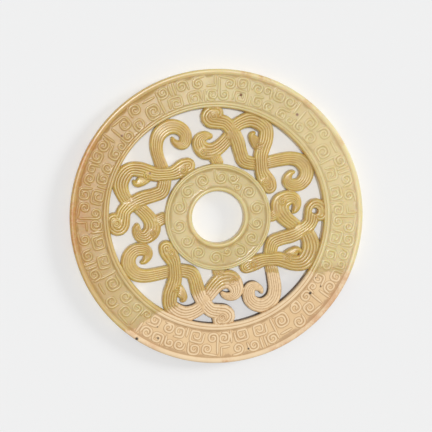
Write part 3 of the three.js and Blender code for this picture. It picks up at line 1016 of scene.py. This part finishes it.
# The jade's colours: two that mix in each part, and what lies over them
PALE = (colour(212, 192, 134), colour(204, 182, 119))
GOLDEN = (colour(203, 171, 84), colour(187, 149, 66))
LIGHT_SIDE = colour(230, 211, 156)
AMBER_SIDE = colour(189, 148, 74)
JADE_PATCH = colour(202, 170, 102)
NEAR_WEATHERED = colour(186, 146, 76)
# Painted highlight on the ridges and crests
JADE_PAINTED_HIGHLIGHT = colour(234, 220, 176)
# Earth in the hollows, with painted shade along the ridges' feet
JADE_DIRT_AND_SHADE = colour(156, 118, 54)
# Painted glow of light through the thin outer rim, towards the right
PAINTED_RIM_GLOW = colour(230, 216, 176)
# Painted glow and highlight on the walls and rounded edges of the openwork
PAINTED_EDGE_GLOW = colour(228, 208, 158)
RUST = colour(188, 120, 50)
JADE_SPOT = colour(122, 66, 8)

# The weathered part's colours
DRY = (colour(231, 198, 150), colour(223, 187, 138))
DRY_MOTTLE = colour(216, 178, 130)
DRY_OPENWORK = colour(168, 126, 80)
# Earth in the hollows, with painted shade along the ridges' feet
DRY_DIRT_AND_SHADE = colour(156, 114, 70)
# Painted highlight on the ridges and crests
DRY_PAINTED_HIGHLIGHT = colour(250, 228, 194)
DRY_RUST = colour(206, 138, 84)
DRY_WALL_STAIN_AND_SHADE = colour(96, 66, 30)           # a burial stain with painted shade on the walls; by height alone, so the underside and the outer edge have it too
DRY_SPOT = colour(52, 38, 24)

# Iron stains along the rim: ((degrees, reach in degrees, radii where it starts and is full), strength)
STAINS = [
    ((278, 34, 54, 59.5), 0.8), ((272, 12, 49, 56.5), 0.55), ((129, 22, 55.5, 59.5), 0.7),
    ((154, 6, 57, 59.8), 0.6), ((176, 3, 57.5, 59.8), 0.8), ((19, 5, 56.5, 59.5), 0.6),
    ((11, 3, 57, 59.5), 0.4), ((40, 5, 57, 59.5), 0.45), ((58, 3, 57, 59.5), 0.45),
    ((212, 9, 55, 59.5), 0.5),
]
# Small brown or black spots and pits: (degrees, radius, size)
SPOTS = [
    (10.2, 50.4, 0.55), (37.6, 52.6, 0.6), (310.3, 51.3, 0.5), (263, 52.7, 0.4), (129.5, 49.7, 0.55),
    (166.8, 55.8, 0.45), (206.5, 55, 0.45), (214, 59.4, 0.6), (124, 51.5, 0.3), (122, 47.8, 0.3),
    (209, 51, 0.35), (303, 33.2, 0.45),
]


def jade_material():
    """Old jade: honey yellow-green and waxy, part of it weathered to a dry pinkish beige, with earth and
    painted shade in its hollows, painted shade on the weathered walls, and painted highlights and glow on
    its ridges, its edges and the right of its rim."""
    t = Tree("old_jade")
    where = t.vector("SCALE", t.node("TexCoord").outputs["Object"])
    where.node.inputs["Scale"].default_value = 1 / MM
    axes = t.node("SeparateXYZ", {}, {0: where})
    x, y, z = (Number(t, axes.outputs[k]) for k in range(3))
    r = t.math("SQRT", x * x + y * y)
    # Hollowness from the mesh, with painted shade along the ridges' feet and a painted highlight on the
    # ridges
    hollow_and_painted_light = Number(t, t.node("Attribute", {"attribute_name": "hollow_and_painted_light"}).outputs["Fac"])

    broad = t.noise(where, 0.045, 3, 0.55)
    patches = t.noise(where, 0.16, 4, 0.6)
    fine = t.noise(where, 1.1, 4, 0.6)
    grain = t.noise(where, 4.5, 3, 0.6)

    # The weathered part lies below a line that drops towards the left, with a ragged edge; the inner ring
    # isn't touched
    above = y + 23.5 + t.largest(15 - x, 0.0) * 0.35 + t.largest(-10 - x, 0.0) * 0.14
    ragged = above + (patches - 0.5) * 8 + (fine - 0.5) * 3
    weathered = t.ramp(ragged, 0.7, -0.7) * t.ramp(r + (fine - 0.5) * 4, 21.0, 24.5)

    openwork = t.ramp(r, 21.4, 22.4) * t.ramp(r, 45.4, 44.2)
    # Below the front: a burial stain with painted shade on the weathered walls
    wall_stain_and_shade = t.ramp(z, 3.9, 3.3)
    # Below the front: painted glow and highlight on the walls and rounded edges
    edge = t.ramp(z, 4.3, 3.5)
    # Earth in the hollows, with painted shade along the ridges' feet; it also roughens the surface
    dirt_and_shade = t.ramp(hollow_and_painted_light + (fine - 0.5) * 0.03, 0.015, 0.075)
    # Painted highlight where the surface stands above its surroundings, on the ridges and crests
    crest = t.ramp(hollow_and_painted_light, -0.01, -0.06)

    stain = t.largest(*(t.arc(where, r, *place_in) * share for place_in, share in STAINS))
    stain = stain * t.ramp(patches * 0.6 + fine * 0.5, 0.42, 0.68)
    dark = t.largest(*(t.spot(where, *spot) for spot in SPOTS))

    pale = t.washed(
        t.mix(t.ramp(broad, 0.35, 0.65), *PALE),
        (t.ramp(x + (broad - 0.5) * 30, 15, 55) * 0.6, LIGHT_SIDE),
        (t.ramp(x - y * 0.25 + (broad - 0.5) * 30, -15, -52) * 0.9, AMBER_SIDE),
        (t.ramp(patches, 0.5, 0.75) * 0.45, JADE_PATCH))
    golden = t.mix(t.ramp(patches, 0.35, 0.65), *GOLDEN)
    jade = t.washed(
        t.mix(openwork * 0.9, pale, golden),
        (t.ramp(ragged, 6, 0.5) * 0.5, NEAR_WEATHERED),
        # painted highlight on the crests
        (crest * 0.2, JADE_PAINTED_HIGHLIGHT),
        # earth and painted shade in the hollows
        (dirt_and_shade * 0.3, JADE_DIRT_AND_SHADE),
        # painted glow on the outer rim, towards the right
        (t.ramp(r, 55, 60) * 0.5 * t.ramp(x, -20, 30), PAINTED_RIM_GLOW),
        # painted glow and highlight on the walls and rounded edges
        (edge * 0.65, PAINTED_EDGE_GLOW),
        (stain, RUST),
        (dark, JADE_SPOT))
    dry = t.washed(
        t.mix(t.ramp(patches, 0.4, 0.66), *DRY),
        (t.ramp(fine, 0.55, 0.75) * 0.35, DRY_MOTTLE),
        (t.ramp(fine + grain * 0.5, 0.72, 1.0) * 0.5 * openwork, DRY_OPENWORK),
        # earth and painted shade in the hollows
        (t.ramp(hollow_and_painted_light + (fine - 0.5) * 0.04, 0.004, 0.05) * 0.55, DRY_DIRT_AND_SHADE),
        # painted highlight on the crests
        (crest * 0.42, DRY_PAINTED_HIGHLIGHT),
        (stain * 0.8, DRY_RUST),
        # burial stain with painted shade on the walls
        (wall_stain_and_shade * 0.9, DRY_WALL_STAIN_AND_SHADE),
        (dark, DRY_SPOT))

    height = fine * 0.5 + grain * 0.5
    bump = t.node("Bump", {}, {"Strength": 0.25, "Distance": 0.00008, "Height": height})
    waxy = t.node("BsdfPrincipled", {}, {
        "Base Color": jade, "Roughness": 0.3 + patches * 0.14 + dirt_and_shade * 0.2, "Normal": bump.outputs[0],
        "IOR": 1.6, "Specular IOR Level": 0.5, "Coat Roughness": 0.12, "Coat Weight": 0.12})
    waxy.inputs["Subsurface Weight"].default_value = 0.75
    waxy.inputs["Subsurface Radius"].default_value = (0.006, 0.004, 0.0018)
    waxy.inputs["Subsurface Scale"].default_value = 1.0
    chalky = t.node("BsdfPrincipled", {}, {
        "Base Color": dry, "Roughness": 0.5 + fine * 0.2, "Normal": bump.outputs[0], "IOR": 1.55})
    both = t.node("MixShader", {}, {"Fac": weathered, 1: waxy.outputs[0], 2: chalky.outputs[0]})
    t.node("OutputMaterial", {}, {"Surface": both.outputs[0]})
    return t.material


def floor_material():
    """Plain pale card."""
    t = Tree("pale_card")
    surface = t.node("BsdfPrincipled", {}, {"Base Color": FLOOR_COLOUR, "Roughness": 0.9})
    surface.inputs["Specular IOR Level"].default_value = 0.0
    t.node("OutputMaterial", {}, {"Surface": surface.outputs[0]})
    return t.material


def add_floor():
    """A pale square that the disc lies on."""
    mesh = bpy.data.meshes.new("floor")
    s = FLOOR_HALF
    mesh.from_pydata([(-s, -s, 0), (s, -s, 0), (s, s, 0), (-s, s, 0)], [], [(0, 1, 2, 3)])
    mesh.materials.append(floor_material())
    piece = added("floor", mesh)
    piece.location.z = -FLOOR_DROP


def add_sun(name, azimuth, height, softness, strength):
    """A sun that shines from an azimuth (anticlockwise from +X) and a height above the floor, in
    degrees."""
    lamp = bpy.data.lights.new(name, "SUN")
    lamp.energy = strength
    lamp.angle = math.radians(softness)
    azimuth, height = math.radians(azimuth), math.radians(height)
    level = math.cos(height)
    away = Vector((math.cos(azimuth) * level, math.sin(azimuth) * level, math.sin(height)))
    added(name, lamp).rotation_euler = away.to_track_quat("Z", "Y").to_euler()


def add_light():
    """A soft light from above, a lower one that rakes across from the right, and an even fill from all
    round."""
    add_sun("top", TOP_AZIMUTH, TOP_HEIGHT, TOP_SOFTNESS, TOP_STRENGTH)
    add_sun("key", KEY_AZIMUTH, KEY_HEIGHT, KEY_SOFTNESS, KEY_STRENGTH)
    world = bpy.data.worlds.new("studio")
    world.use_nodes = True
    world.node_tree.nodes["Background"].inputs["Color"].default_value = (1, 1, 1, 1)
    world.node_tree.nodes["Background"].inputs["Strength"].default_value = FILL_STRENGTH
    bpy.context.scene.world = world


def add_camera():
    """The camera looks down on the disc from a little to the upper left, through a long lens."""
    lens = bpy.data.cameras.new("camera")
    lens.lens = LENS
    lens.sensor_width = SENSOR_WIDTH
    lens.clip_end = FAR_CLIP
    camera = added("camera", lens)
    back = Vector(VIEW_FROM).normalized()
    right = Vector((0, 1, 0)).cross(back).normalized()
    up = back.cross(right)
    roll = math.radians(ROLL)
    right, up = right * math.cos(roll) + up * math.sin(roll), up * math.cos(roll) - right * math.sin(roll)
    camera.matrix_world = Matrix((
        (right.x, up.x, back.x, 0), (right.y, up.y, back.y, 0), (right.z, up.z, back.z, 0), (0, 0, 0, 1)))
    camera.location = (Vector(AIM) + back * DISTANCE) * MM
    bpy.context.scene.camera = camera


disc = disc_piece()
disc.data.materials.append(jade_material())
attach(disc, "root")
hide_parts(NODE)
add_floor()
add_light()
add_camera()
bpy.context.scene.view_settings.view_transform = "Standard"
